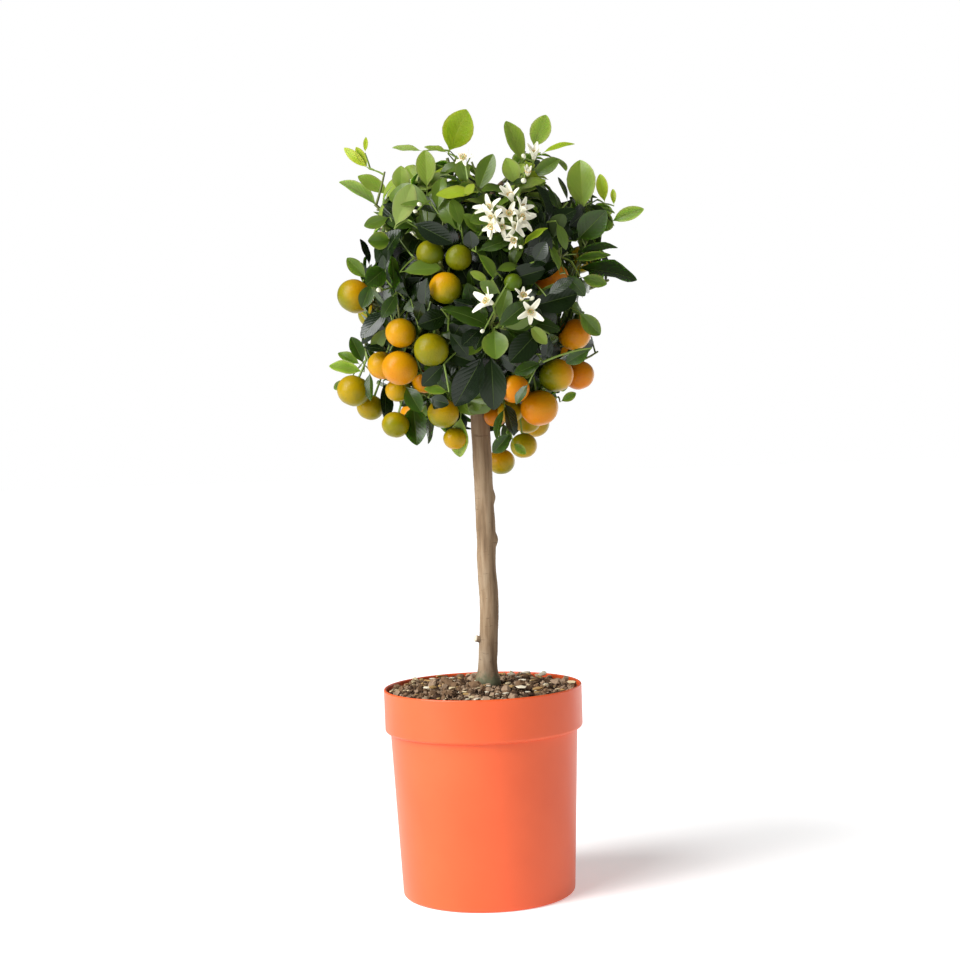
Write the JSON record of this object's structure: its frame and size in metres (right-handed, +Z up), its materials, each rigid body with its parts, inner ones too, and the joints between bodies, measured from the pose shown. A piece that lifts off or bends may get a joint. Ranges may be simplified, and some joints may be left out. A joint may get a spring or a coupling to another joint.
{
  "type": "potted calamondin orange tree",
  "caption": "Small standard calamondin orange tree: a bare stem, a round crown of glossy leaves with ripening fruit and white blossom, standing in a smooth round collared pot.",
  "frame": {"origin": "centre of the pot's flat underside", "axes": "+Z up along the pot's axis, -Y towards the side seen in the picture, +X to the right of that side"},
  "size_m": [0.3078, 0.2932, 0.7587],
  "materials": {
    "pot": "gloss",
    "soil": "matte",
    "bark": "matte",
    "twig_bark": "matte",
    "foliage": "satin",
    "fruit": "satin",
    "blossom": "matte"
  },
  "bodies": {
    "root": {"pot": "pot", "soil": "soil", "trunk": "bark", "bough_low_left": "twig_bark", "bough_low_front_left": "twig_bark", "bough_low_front_right": "twig_bark", "bough_low_right": "twig_bark", "bough_low_back_right": "twig_bark", "bough_low_back_left": "twig_bark", "bough_front_left": "twig_bark", "bough_front": "twig_bark", "bough_front_right": "twig_bark", "bough_right": "twig_bark", "bough_back_right": "twig_bark", "bough_back_left": "twig_bark", "bough_left": "twig_bark", "bough_upper_front_left": "twig_bark", "bough_upper_front": "twig_bark", "bough_upper_left": "twig_bark", "bough_upper_right": "twig_bark", "bough_upper_back_right": "twig_bark", "bough_upper_back_left": "twig_bark", "bough_top_right": "twig_bark", "mass_low_left": "foliage", "mass_low_front_left": "foliage", "mass_low_front_right": "foliage", "mass_low_right": "foliage", "mass_low_back_right": "foliage", "mass_low_back_left": "foliage", "mass_front_left": "foliage", "mass_front": "foliage", "mass_front_right": "foliage", "mass_right": "foliage", "mass_back_right": "foliage", "mass_back_left": "foliage", "mass_left": "foliage", "mass_upper_front_left": "foliage", "mass_upper_front": "foliage", "mass_upper_left": "foliage", "mass_upper_right": "foliage", "mass_upper_back_right": "foliage", "mass_upper_back_left": "foliage", "mass_top_left": "foliage", "mass_top_right": "foliage"}
  },
  "joints": []
}
